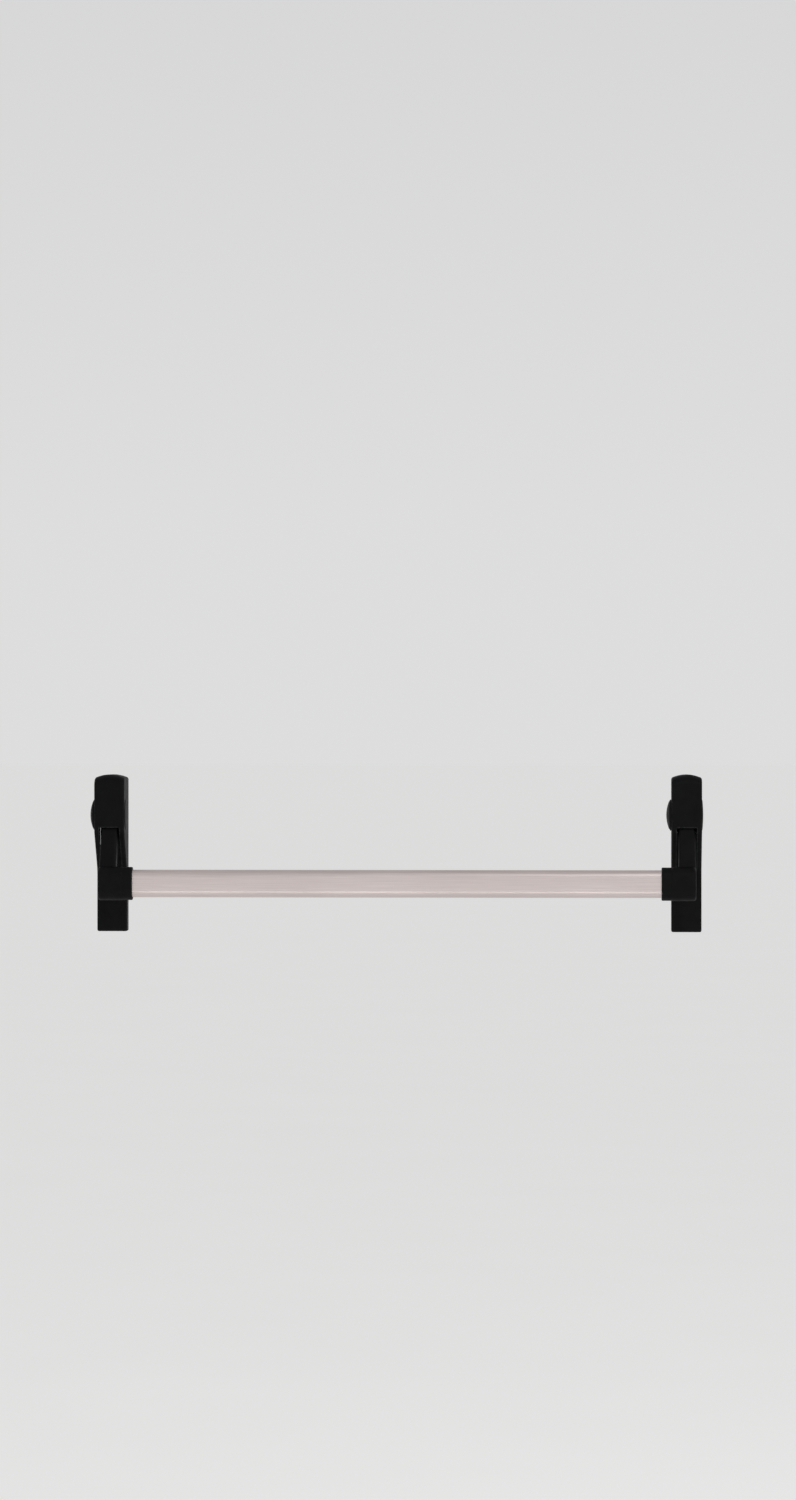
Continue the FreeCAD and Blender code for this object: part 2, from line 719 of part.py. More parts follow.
def make_spring(side, x):
    """Compression spring around its rod."""
    body = doc.addObject("PartDesign::Body", side + "_return_spring")
    sketch = new_sketch(body, "XZ")
    wire = D["SpringWire"] / 2
    sketch.addGeometry(Part.Circle(FreeCAD.Vector(D["SpringRadius"].value, 0, 0),
                                   FreeCAD.Vector(0, 0, 1), wire.value), False)
    index = sketch.addConstraint(Sketcher.Constraint("Radius", 0, wire.value))
    sketch.setExpression(f"Constraints[{index}]", wire.formula)
    bind_constraint(sketch, "DistanceX", 0, 3, D["SpringRadius"])
    sketch.addConstraint(Sketcher.Constraint("PointOnObject", 0, 3, -1))
    coil = body.newObject("PartDesign::AdditiveHelix", side + "_coil")
    coil.Profile = sketch
    coil.ReferenceAxis = (sketch, ["V_Axis"])
    coil.Mode = "pitch-height-angle"
    clear = wire + 0.1
    bind(coil, "Pitch", D["SpringPitch"])
    bind(coil, "Height", D["SpringTopHeight"] - D["SpringLowHeight"] - clear * 2)
    place(body, x, -D["SpringOut"], D["SpringLowHeight"] + clear)
    return body


def make_spring_rod(side, x):
    """Rod that the slide and the spring run on, with a riveted head at its top."""
    flange_top = D["SpringTopHeight"] + PLATE
    low = 66
    profile = [
        (0, 0),
        (0, ROD_RADIUS - 0.6),
        (0.6, ROD_RADIUS),
        (flange_top - low, ROD_RADIUS),
        (flange_top - low, 4),
        (flange_top - low + 1.2, 4),
        (flange_top - low + 1.2, 0),
    ]
    return turned(side + "_spring_rod", "Z", profile, (x, -D["SpringOut"], low))


def make_spring_bracket(side, x):
    """Angle on the base plate that holds the rod and the fixed end of the spring."""
    foot = block(side + "_bracket_foot", (x - 7, x + 7), (-2 * PLATE, -PLATE),
                 (86, D["SpringTopHeight"] + PLATE))
    flange = block(side + "_bracket_flange", (x - 7, x + 7), (-25, -2 * PLATE),
                   (D["SpringTopHeight"], D["SpringTopHeight"] + PLATE))
    tools = [
        rod(side + "_bracket_rivet_hole", "Y", (-3 * PLATE, 0), (x, 92), 2.5),
        rod(side + "_bracket_rod_hole", "Z",
            (D["SpringTopHeight"] - 1, D["SpringTopHeight"] + PLATE + 1),
            (x, -D["SpringOut"]), ROD_RADIUS),
    ]
    return cut(side + "_spring_bracket", fuse(side + "_bracket_blank", [foot, flange]), tools)


def make_buffers(side, x):
    """Rubber sleeve above the slide, and rubber block below its tail."""
    sleeve_low = D["SpringLowHeight"] + TRAVEL + D["BufferGap"]
    sleeve = rod(side + "_sleeve", "Z", (sleeve_low, D["SpringTopHeight"]),
                 (x, -D["SpringOut"]), 3.8)
    bore = rod(side + "_sleeve_bore", "Z", (sleeve_low - 1, D["SpringTopHeight"] + 1),
               (x, -D["SpringOut"]), ROD_RADIUS)
    rest_top = TAIL_LOW - D["BufferGap"]
    rest = block(side + "_rest_buffer", (x - 7, x + 7), (SLIDE_FRONT - 0.5, -PLATE),
                 (rest_top - 6, rest_top))
    return cut(side + "_end_buffer", sleeve, [bore]), rest


# ---------------------------------------------------------------- pieces that swing

def make_arm(side, x, direction):
    """Cast lever: hub on the pivot, hollow-backed shaft, crank, and socket for the bar."""
    bar_distance = root((BAR[0] - PIVOT[0]) * (BAR[0] - PIVOT[0])
                        + (BAR[1] - PIVOT[1]) * (BAR[1] - PIVOT[1]))
    shaft = [along_arm(0, -9), along_arm(0, 10), along_arm(bar_distance, 10),
             along_arm(bar_distance, -9)]
    crank_side = (sine(HALF_SWING), cosine(HALF_SWING))
    crank = [
        (PIVOT[0] - crank_side[0] * 9, PIVOT[1] - crank_side[1] * 9),
        (CRANK[0] - crank_side[0] * 5, CRANK[1] - crank_side[1] * 5),
        (CRANK[0] + crank_side[0] * 5, CRANK[1] + crank_side[1] * 5),
        (PIVOT[0] + crank_side[0] * 9, PIVOT[1] + crank_side[1] * 9),
    ]
    crank_span = across(x, direction, 3.5, 10.5)
    knuckle_span = across(x, direction, -ARM_HALF, HALF)
    collar_span = across(x, direction, 0, D["CollarReach"])
    knuckle = prism(side + "_knuckle", "YZ",
                    [oval(BAR[0], BAR[1], BAR_STRAIGHT, COLLAR_RADIUS + 0.5)],
                    knuckle_span[0], knuckle_span[1] - knuckle_span[0])
    collar = prism(side + "_collar", "YZ", [oval(BAR[0], BAR[1], BAR_STRAIGHT, COLLAR_RADIUS)],
                   collar_span[0], collar_span[1] - collar_span[0])
    beam = prism(side + "_shaft", "YZ", [shaft], x - ARM_HALF, D["ArmWidth"])
    closed_end, mouth = 0, D["CollarReach"]
    if direction < 0:
        closed_end, mouth = ARM_HALF + HALF, 0
    round_edges(knuckle, side + "_knuckle_end", 4, lies_in_plane(closed_end))
    round_edges(collar, side + "_mouth", 1, lies_in_plane(mouth))
    round_edges(beam, side + "_shaft_edges", 3.5, long_in_plane(0, D["ArmWidth"]))
    blank = fuse(side + "_arm_blank", [
        rod(side + "_hub", "X", (x - ARM_HALF, x + ARM_HALF), PIVOT, HUB_RADIUS),
        beam,
        prism(side + "_crank", "YZ", [crank], crank_span[0], crank_span[1] - crank_span[0]),
        rod(side + "_crank_end", "X", crank_span, CRANK, 5),
        knuckle,
        collar,
    ])
    hollow = [along_arm(21, -10), along_arm(21, 3), along_arm(bar_distance - 25, 3),
              along_arm(bar_distance - 25, -10)]
    socket_span = across(x, direction, SOCKET_END, D["CollarReach"] + 1)
    tools = [
        rod(side + "_arm_bore", "X", (x - 20, x + 20), PIVOT, PIVOT_RADIUS + 2),
        rod(side + "_crank_hole", "X", (x - 15, x + 15), CRANK, CRANK_RADIUS),
        prism(side + "_arm_hollow", "YZ", [hollow], x - ARM_HALF + 4, D["ArmWidth"] - 8),
        prism(side + "_socket", "YZ", [oval(BAR[0], BAR[1], BAR_STRAIGHT, SOCKET_RADIUS)],
              socket_span[0], socket_span[1] - socket_span[0]),
    ]
    for number, reach in enumerate(BAR_SCREW_REACH):
        tools.append(rod(f"{side}_arm_thread_{number}", "Y", (BAR[0], BAR[0] + 20),
                         (x + direction * reach, BAR[1]), 2.5))
    return cut(side + "_arm", blank, tools)


def make_arm_bushes(side, x):
    """Flanged bushes, one pressed in from each face of the hub."""
    bushes = []
    for number, direction in enumerate((-1, 1)):
        sleeve = [
            (1 * direction, PIVOT_RADIUS + D["RunningGap"]),
            (1 * direction, PIVOT_RADIUS + 2),
            (ARM_HALF * direction, PIVOT_RADIUS + 2),
            (ARM_HALF * direction, PIVOT_RADIUS + 4.5),
            ((ARM_HALF + 1.5) * direction, PIVOT_RADIUS + 4.5),
            ((ARM_HALF + 1.5) * direction, PIVOT_RADIUS + D["RunningGap"]),
        ]
        bushes.append(turned(f"{side}_bush_{number}", "X", sleeve, (x, PIVOT[0], PIVOT[1])))
    return group(side + "_arm_bushes", bushes)


def make_bar_fittings(side, x, direction):
    """Insert in the end of the bar, and two grub screws through the socket into it."""
    plug_span = across(x, direction, SOCKET_END + 1, D["CollarReach"] - 1)
    plug = prism(side + "_plug", "YZ",
                 [oval(BAR[0], BAR[1], BAR_STRAIGHT, BAR_RADIUS - D["BarWall"] - 0.1)],
                 plug_span[0], plug_span[1] - plug_span[0])
    face = BAR[0] + COLLAR_RADIUS
    holes, screws = [], []
    for number, reach in enumerate(BAR_SCREW_REACH):
        centre = (x + direction * reach, BAR[1])
        holes.append(rod(f"{side}_plug_hole_{number}", "Y", (BAR[0] + 1, BAR[0] + 20), centre, 2.5))
        blank = rod(f"{side}_grub_{number}", "Y", (BAR[0] + 1.2, face - 0.4), centre, 2.45)
        socket = hexagon(f"{side}_grub_socket_{number}", "Y", (face - 3, face), centre, 2.5)
        screws.append(cut(f"{side}_bar_screw_{number}", blank, [socket]))
    return cut(side + "_bar_plug", plug, holes), group(side + "_bar_screws", screws)


def make_bar():
    """Oval tube that reaches into the socket of each arm."""
    low = SOCKET_END + 1
    high = D["CaseSpacing"] - low
    outer = oval(BAR[0], BAR[1], BAR_STRAIGHT, BAR_RADIUS)
    inner = oval(BAR[0], BAR[1], BAR_STRAIGHT, BAR_RADIUS - D["BarWall"])
    tube = prism("tube", "YZ", [outer, inner], low, high - low)
    holes = []
    for number, reach in enumerate(BAR_SCREW_REACH):
        for end, x in (("lock", as_size(reach)), ("hinge", D["CaseSpacing"] - reach)):
            holes.append(rod(f"{end}_tube_hole_{number}", "Y", (BAR[0], BAR[0] + 20),
                             (x, BAR[1]), 2.6))
    return cut("bar_tube", tube, holes)


# ---------------------------------------------------------------- lock side only

def make_follower():
    """Follower, its bush and pin, the spindle, and the grub screw that holds it."""
    back = -0.2
    bore_end = -9
    half_square = D["SpindleSquare"] / 2
    profile = [
        (back, 0),
        (back, BUSH_INNER - D["RunningGap"]),
        (FOLLOWER_BACK, BUSH_INNER - D["RunningGap"]),
        (FOLLOWER_BACK, D["FollowerDiameter"] / 2),
        (FOLLOWER_FRONT, D["FollowerDiameter"] / 2),
        (FOLLOWER_FRONT, JOURNAL_RADIUS),
        (BRIDGE_FRONT, JOURNAL_RADIUS),
        (BRIDGE_FRONT, 0),
    ]
    pin_at = (FOLLOWER_REACH * cosine(HALF_TURN), -FOLLOWER_REACH * sine(HALF_TURN))
    pin_span = (SLIDE_FRONT - 0.7, -4)
    bore_half = half_square + D["RunningGap"]
    follower = cut("lock_follower", turned("follower_blank", "Y", profile, (0, 0, 0)), [
        block("follower_square", (-bore_half, bore_half), (bore_end, 1), (-bore_half, bore_half)),
        rod("follower_pin_hole", "Y", (FOLLOWER_FRONT - 1, -4), pin_at, CRANK_RADIUS),
        rod("follower_thread", "X", (-20, -half_square + 1), (-6.4, 0), 2),
    ])
    pin = rod("lock_follower_pin", "Y", pin_span, pin_at, CRANK_RADIUS)
    screw = cut("lock_follower_screw",
                rod("follower_grub", "X", (-13, -bore_half), (-6.4, 0), 1.95),
                [hexagon("follower_grub_socket", "X", (-14, -11), (-6.4, 0), 2)])
    bush = cut("lock_follower_bush", rod("bush_outer", "Y", (-PLATE, 0), (0, 0), BUSH_OUTER),
               [rod("bush_inner", "Y", (-PLATE - 1, 1), (0, 0), BUSH_INNER)])
    spindle = doc.addObject("PartDesign::Body", "lock_spindle")
    sketch = new_sketch(spindle, "XZ")
    draw(sketch, [(-half_square, -half_square), (half_square, -half_square),
                  (half_square, half_square), (-half_square, half_square)])
    pad = spindle.newObject("PartDesign::Pad", "spindle_pad")
    pad.Profile = sketch
    bind(pad, "Length", D["SpindleReach"] - bore_end - 0.1)
    bind(spindle, "Placement.Base.y", D["SpindleReach"])
    doc.recompute()
    tip = [f"Edge{n}" for n, edge in enumerate(pad.Shape.Edges, 1)
           if all(abs(vertex.Point.y) < 0.01 for vertex in edge.Vertexes)]
    chamfer = spindle.newObject("PartDesign::Chamfer", "spindle_tip")
    chamfer.Base = (pad, tip)
    chamfer.Size = 1
    return [follower, pin, screw, bush, spindle]


# ---------------------------------------------------------------- build and export

def make_side(side, x, direction):
    """All the pieces of one case and its arm."""
    posts, bridge = make_guides(side, x)
    end_buffer, rest_buffer = make_buffers(side, x)
    plug, bar_screws = make_bar_fittings(side, x, direction)
    crank_pin = rod(side + "_crank_pin", "X", across(x, direction, -4, 10.5), CRANK, CRANK_RADIUS)
    return [
        make_base_plate(side, x),
        make_chassis(side, x),
        group(side + "_chassis_rivets", make_rivets(side + "_rivet", x, CHASSIS_RIVETS)),
        make_cover(side, x),
        make_cover_screws(side, x),
        make_cap(side + "_large_cap", x, -HALF, -1, D["LargeCapRim"], D["LargeCapDome"]),
        make_cap(side + "_small_cap", x, HALF, 1, D["SmallCapRim"], D["SmallCapDome"]),
        make_pivot_pin(side, x),
        make_pin_clips(side, x),
        make_arm_bushes(side, x),
        make_arm(side, x, direction),
        crank_pin,
        plug,
        bar_screws,
        make_slide(side, x),
        posts,
        bridge,
        make_spring(side, x),
        make_spring_rod(side, x),
        make_spring_bracket(side, x),
        group(side + "_bracket_rivet", make_rivets(side + "_bracket_fixing", x, [(0, 92)])),
        end_buffer,
        rest_buffer,
    ]


def check(item):
    """Stop if an object failed to build."""
    if "Invalid" in item.State or "Error" in item.State:
        raise RuntimeError(f"{item.Name} failed: {item.State}")
    if hasattr(item, "Shape") and item.TypeId != "App::Plane":
        if item.Shape.isNull() or not item.Shape.isValid():
            raise RuntimeError(f"{item.Name} has no valid shape")


nodes = make_side("lock", as_size(0), 1)
nodes += make_side("hinge", D["CaseSpacing"], -1)
nodes += make_follower()
nodes.append(make_bar())
doc.recompute()

for item in doc.Objects:
    if not item.TypeId.startswith("App::"):
        check(item)
for node in nodes:
    node.Label = node.Name
    node.Shape.exportStep(f"parts/{node.Name}.step")
print(len(nodes), "nodes")
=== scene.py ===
import json
import math

import bmesh
import bpy
from mathutils import Matrix, Vector


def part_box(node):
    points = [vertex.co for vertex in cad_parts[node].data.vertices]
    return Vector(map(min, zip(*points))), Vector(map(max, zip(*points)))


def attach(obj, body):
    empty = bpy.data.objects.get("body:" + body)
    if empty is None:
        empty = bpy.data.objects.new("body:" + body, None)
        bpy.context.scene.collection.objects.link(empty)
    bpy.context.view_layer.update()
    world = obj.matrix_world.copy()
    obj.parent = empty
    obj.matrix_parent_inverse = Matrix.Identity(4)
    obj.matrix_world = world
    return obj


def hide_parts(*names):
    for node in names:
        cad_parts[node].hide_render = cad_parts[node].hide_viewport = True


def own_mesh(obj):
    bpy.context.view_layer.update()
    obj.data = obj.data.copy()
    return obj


# Panic exit bar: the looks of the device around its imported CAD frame.
# Lengths in the tables and helpers below are in millimetres, and objects are in metres.

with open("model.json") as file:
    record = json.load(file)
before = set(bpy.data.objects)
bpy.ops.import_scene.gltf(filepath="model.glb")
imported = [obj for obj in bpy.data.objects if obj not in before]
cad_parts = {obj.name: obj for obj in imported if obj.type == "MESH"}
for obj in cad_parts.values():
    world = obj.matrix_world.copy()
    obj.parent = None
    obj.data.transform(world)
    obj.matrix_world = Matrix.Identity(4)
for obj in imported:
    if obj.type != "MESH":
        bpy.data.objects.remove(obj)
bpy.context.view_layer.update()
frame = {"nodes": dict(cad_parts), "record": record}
MM = 0.001
SIDES = ("lock", "hinge")


# ---------------------------------------------------------------- places from the frame

def box_mm(node):
    """Lowest and highest corner of a CAD node, in millimetres."""
    low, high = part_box(node)
    return Vector(low) / MM, Vector(high) / MM


def joint(name):
    """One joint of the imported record."""
    joints = frame["record"]["behaviour"]["joints"]
    return next(item for item in joints if item["name"] == name)


PIVOT_Y, PIVOT_Z = (value / MM for value in joint("bar_press")["pos_m"][1:])
COVER = {side: box_mm(side + "_cover") for side in SIDES}
CENTRE = {side: (COVER[side][0].x + COVER[side][1].x) / 2 for side in SIDES}
HALF = (COVER["lock"][1].x - COVER["lock"][0].x) / 2
BOTTOM, TOP = COVER["lock"][0].z, COVER["lock"][1].z
HEAD_DEPTH = -COVER["lock"][0].y
TUBE_LOW, TUBE_HIGH = box_mm("bar_tube")
BAR_Y = (TUBE_LOW.y + TUBE_HIGH.y) / 2
BAR_Z = (TUBE_LOW.z + TUBE_HIGH.z) / 2
COLLAR_REACH = box_mm("lock_arm")[1].x - CENTRE["lock"]

# Cover: profile from the side, domed top, arm slot and bottom screws.
BASE_DEPTH = 21
HEAD_LOW = 31
TAPER_LOW = -25
FOOT_RADIUS = 4
NECK_RADIUS = 24
CHIN_RADIUS = 18
BROW_RADIUS = 14
SIDE_RADIUS = 2.5
DOME_RISE = 5
DOME_REACH = 26
WALL = 2.5
SLOT_HALF = 14.5
SLOT_TOP = 37.5
COVER_SCREW_X = 12
COVER_SCREW_Y = -10

# Arm: widths, depths and radii of the casting.
ARM_HALF = 13
SHAFT_FORE = 10
SHAFT_AFT = 9
SHAFT_CORNER = 3.5
HUB_RADIUS = 14
CRANK_NEAR = 3.6
CRANK_FAR = 10.4
CRANK_RADIUS = 4.9
SOCKET_RADIUS = 10.1
SOCKET_DEPTH = 40
COLLAR_RADIUS = 14
BORE_RADIUS = 7
THREAD_RADIUS = 2.6

# Bar, caps and springs.
BAR_RADIUS = 10
BAR_STRAIGHT = 10
BAR_WALL = 1.5
CAP_RADIUS = 22.5
SPRING_WIRE = 1.6
SPRING_PITCH = 4.2


# ---------------------------------------------------------------- mesh helpers

def new_object(name, points, faces):
    """Mesh object from points in millimetres, smooth except at sharp corners."""
    mesh = bpy.data.meshes.new(name)
    mesh.from_pydata([Vector(point) * MM for point in points], [], faces)
    piece = bpy.data.objects.new(name, mesh)
    bpy.context.scene.collection.objects.link(piece)
    clean(piece)
    return piece


def clean(piece, smooth_angle=32):
    """Weld double points, point every face outwards and set the shading."""
    shape = bmesh.new()
    shape.from_mesh(piece.data)
    bmesh.ops.remove_doubles(shape, verts=shape.verts, dist=0.002 * MM)
    bmesh.ops.recalc_face_normals(shape, faces=shape.faces)
    shape.to_mesh(piece.data)
    shape.free()
    for face in piece.data.polygons:
        face.use_smooth = True
    piece.data.set_sharp_from_angle(angle=math.radians(smooth_angle))


def bake(piece):
    """Replace a piece's mesh with the result of its modifiers."""
    evaluated = piece.evaluated_get(bpy.context.evaluated_depsgraph_get())
    mesh = bpy.data.meshes.new_from_object(evaluated)
    piece.modifiers.clear()
    piece.data = mesh


def carve(piece, tools, operation="DIFFERENCE"):
    """Cut closed tools out of a piece, or join them to it, and discard the tools."""
    for tool in tools:
        change = piece.modifiers.new("carve", "BOOLEAN")
        change.operation = operation
        change.solver = "EXACT"
        change.object = tool
        bake(piece)
        bpy.data.objects.remove(tool)


def split_large_faces(piece):
    """Cut every face of more than four corners into well-shaped triangles."""
    shape = bmesh.new()
    shape.from_mesh(piece.data)
    large = [face for face in shape.faces if len(face.verts) > 4]
    bmesh.ops.triangulate(shape, faces=large, ngon_method="BEAUTY")
    shape.to_mesh(piece.data)
    shape.free()


def bevel(piece, width):
    """Round a piece's sharp edges with a modifier."""
    change = piece.modifiers.new("edges", "BEVEL")
    change.width = width * MM
    change.segments = 3
    change.limit_method = "ANGLE"
    change.angle_limit = math.radians(35)
    change.miter_outer = "MITER_ARC"


def rounded_path(corners, segments=10):
    """Points of an open path in a plane. A corner is (u, v, radius)."""
    points = []
    for number, (u, v, radius) in enumerate(corners):
        here = Vector((u, v))
        if radius == 0 or number in (0, len(corners) - 1):
            points.append(here)
            continue
        back = (Vector(corners[number - 1][:2]) - here).normalized()
        ahead = (Vector(corners[number + 1][:2]) - here).normalized()
        half = back.angle(ahead) / 2
        reach = radius / math.tan(half)
        centre = here + (back + ahead).normalized() * radius / math.sin(half)
        start, end = here + back * reach - centre, here + ahead * reach - centre
        turn = start.angle_signed(end)
        for step in range(segments + 1):
            points.append(centre + Matrix.Rotation(-turn * step / segments, 2) @ start)
    return points


def oval_ring(radius, straight, segments=40):
    """Upright oval about the origin as (y, z) pairs, anticlockwise."""
    ring = []
    for end in (0, 1):
        for step in range(segments + 1):
            angle = math.pi * (end + step / segments)
            lift = straight if end == 0 else -straight
            ring.append((radius * math.cos(angle), lift + radius * math.sin(angle)))
    return ring


def bar_ring(x, radius):
    """Oval around the bar's axis, at one place along it."""
    return [(x, BAR_Y + u, BAR_Z + v) for u, v in oval_ring(radius, BAR_STRAIGHT)]


def loft(rings, closed=True):
    """Points and faces of a skin over equal rings, with its ends filled if asked."""
    count = len(rings[0])
    points = [point for ring in rings for point in ring]
    faces = []
    for level in range(len(rings) - 1):
        for step in range(count):
            low, high = level * count, (level + 1) * count
            beside = (step + 1) % count
            faces.append((low + step, low + beside, high + beside, high + step))
    if closed:
        last = (len(rings) - 1) * count
        faces.append(tuple(range(count)))
        faces.append(tuple(last + step for step in range(count)))
    return points, faces


def rounded_oval(name, x_mouth, x_end, radius, corner, mouth_corner):
    """Oval block around the bar's axis, with the edges at its two ends rounded."""
    direction = 1 if x_end > x_mouth else -1
    stations = []
    for step in range(5):
        angle = math.pi / 2 * step / 4
        inset = mouth_corner * (1 - math.sin(angle))
        stations.append((x_mouth + direction * mouth_corner * (1 - math.cos(angle)), inset))
    for step in range(7):
        angle = math.pi / 2 * step / 6
        inset = corner * (1 - math.cos(angle))
        stations.append((x_end - direction * corner * (1 - math.sin(angle)), inset))
    return new_object(name, *loft([bar_ring(x, radius - inset) for x, inset in stations]))


def lathe(name, axis, profile, centre, segments=96):
    """Turned piece about X or Z from (along the axis, radius) points."""
    rings = []
    for along, radius in profile:
        ring = []
        for step in range(segments):
            angle = 2 * math.pi * step / segments
            u, v = max(radius, 0.01) * math.cos(angle), max(radius, 0.01) * math.sin(angle)
            offset = (along, u, v) if axis == "X" else (u, v, along)
            ring.append(Vector(centre) + Vector(offset))
        rings.append(ring)
    return new_object(name, *loft(rings))


def block(name, low, high):
    """Rectangular cutter between two corners."""
    spans = list(zip(low, high))
    rings = [[(x, y, z) for x, y in ((spans[0][0], spans[1][0]), (spans[0][1], spans[1][0]),
                                     (spans[0][1], spans[1][1]), (spans[0][0], spans[1][1]))]
             for z in spans[2]]
    return new_object(name, *loft(rings))


# ---------------------------------------------------------------- material helpers

class Nodes:
    """Short way to write a material's node tree."""

    def __init__(self, name):
        self.material = bpy.data.materials.new(name)
        self.material.use_nodes = True
        self.tree = self.material.node_tree
        self.shader = self.tree.nodes["Principled BSDF"]
        self.place = self.add("ShaderNodeTexCoord").outputs["Object"]

    def add(self, kind, **values):
        """Add a node, and set its properties or its input sockets."""
        node = self.tree.nodes.new(kind)
        for key, value in values.items():
            if hasattr(node, key):
                setattr(node, key, value)
            else:
                node.inputs[key.replace("_", " ")].default_value = value
        return node

    def link(self, source, target):
        """Join an output to an input."""
        self.tree.links.new(source, target)

    def set(self, **values):
        """Set constant values on the shader's own sockets."""
        for key, value in values.items():
            self.shader.inputs[key.replace("_", " ")].default_value = value

    def noise(self, scale, detail=4, stretch=(1, 1, 1)):
        """Noise value, with a scale in features per metre along X, Y and Z."""
        mapping = self.add("ShaderNodeMapping")
        mapping.inputs["Scale"].default_value = stretch
        self.link(self.place, mapping.inputs["Vector"])
        noise = self.add("ShaderNodeTexNoise", Scale=scale, Detail=detail)
        self.link(mapping.outputs["Vector"], noise.inputs["Vector"])
        return noise.outputs["Fac"]

    def between(self, value, low, high, start=0.3, end=0.7):
        """Turn a noise value into a number between two limits."""
        change = self.add("ShaderNodeMapRange")
        self.link(value, change.inputs["Value"])
        for socket, number in zip(("From Min", "From Max", "To Min", "To Max"),
                                  (start, end, low, high)):
            change.inputs[socket].default_value = number
        return change.outputs["Result"]

    def blend(self, value, first, second):
        """Mix two colours by a value."""
        mix = self.add("ShaderNodeMix", data_type="RGBA")
        self.link(value, mix.inputs["Factor"])
        for socket, colour in ((6, first), (7, second)):
            if isinstance(colour, tuple):
                mix.inputs[socket].default_value = (*colour, 1)
            else:
                self.link(colour, mix.inputs[socket])
        return mix.outputs[2]

    def bump(self, value, strength, distance):
        """Raise the surface by a value, over a distance in millimetres."""
        bump = self.add("ShaderNodeBump", Strength=strength, Distance=distance * MM)
        self.link(value, bump.inputs["Height"])
        if self.shader.inputs["Normal"].links:
            before = self.shader.inputs["Normal"].links[0].from_socket
            self.link(before, bump.inputs["Normal"])
        self.link(bump.outputs["Normal"], self.shader.inputs["Normal"])

    def edges(self, reach):
        """Value that falls from 1 near outward edges, within a reach in millimetres."""
        cover = self.add("ShaderNodeAmbientOcclusion", inside=True, only_local=True, samples=16)
        cover.inputs["Distance"].default_value = reach * MM
        return cover.outputs["AO"]

    def colour(self, value, first, second):
        """Vary the base colour between two colours."""
        self.link(self.blend(value, first, second), self.shader.inputs["Base Color"])

    def roughness(self, value, low, high):
        """Vary the roughness between two limits."""
        self.link(self.between(value, low, high), self.shader.inputs["Roughness"])


def black_coating(name, reach):
    """Satin black powder coat: fine orange-peel texture, and edges rubbed a little lighter."""
    nodes = Nodes(name)
    cloud = nodes.between(nodes.noise(55, 5), 0, 1)
    base = nodes.blend(cloud, (0.0018, 0.0018, 0.0019), (0.0035, 0.0035, 0.0036))
    worn = nodes.add("ShaderNodeMath", operation="MULTIPLY")
    nodes.link(nodes.between(nodes.edges(reach), 1, 0, 0.6, 0.97), worn.inputs[0])
    nodes.link(nodes.between(nodes.noise(260, 6), 0.25, 1, 0.4, 0.62), worn.inputs[1])
    nodes.link(nodes.blend(worn.outputs[0], base, (0.03, 0.03, 0.031)),
               nodes.shader.inputs["Base Color"])
    nodes.roughness(nodes.noise(120, 5), 0.48, 0.6)
    nodes.set(Specular_IOR_Level=0.095)
    nodes.bump(nodes.noise(2600, 3), 0.25, 0.03)
    nodes.bump(nodes.noise(700, 2), 0.15, 0.05)
    return nodes.material


def satin_bar():
    """Satin finish brushed along the bar, with faint handling marks; the warm pink cast of its
    colours is a painted reflection of a red door.
    """
    nodes = Nodes("satin_bar")
    grain = nodes.noise(900, 6, (0.012, 1, 1))
    smudge = nodes.noise(16, 4, (0.5, 1, 1))
    shade = nodes.between(grain, 0, 1, 0.25, 0.75)
    # The pink cast in these three bar colours is a painted reflection of a red door; the grain and
    # the handling marks are the metal's own.
    fine = nodes.blend(shade, (0.62, 0.545, 0.53), (0.76, 0.675, 0.655))
    nodes.link(nodes.blend(nodes.between(smudge, 0, 0.35), fine, (0.58, 0.51, 0.495)),
               nodes.shader.inputs["Base Color"])
    nodes.set(Metallic=1.0)
    rough = nodes.add("ShaderNodeMath", operation="ADD")
    nodes.link(nodes.between(grain, 0.34, 0.42), rough.inputs[0])
    nodes.link(nodes.between(smudge, 0, 0.07), rough.inputs[1])
    nodes.link(rough.outputs[0], nodes.shader.inputs["Roughness"])
    nodes.bump(grain, 0.16, 0.02)
    return nodes.material


def worked_metal(name, dark, light, rough, grain_scale, stretch=(1, 1, 1), bump=0.1):
    """Bare or plated metal with a fine grain and cloudy roughness."""
    nodes = Nodes(name)
    grain = nodes.noise(grain_scale, 5, stretch)
    cloud = nodes.noise(70, 5)
    nodes.colour(nodes.between(cloud, 0, 1), dark, light)
    nodes.set(Metallic=1.0)
    nodes.roughness(grain, *rough)
    nodes.bump(grain, bump, 0.02)
    return nodes.material


def moulded(name, dark, light, rough, grain_scale, bump):
    """Moulded rubber or plastic with a fine surface texture."""
    nodes = Nodes(name)
    grain = nodes.noise(grain_scale, 5)
    nodes.colour(nodes.between(grain, 0, 1), dark, light)
    nodes.roughness(grain, *rough)
    nodes.bump(grain, bump, 0.03)
    return nodes.material


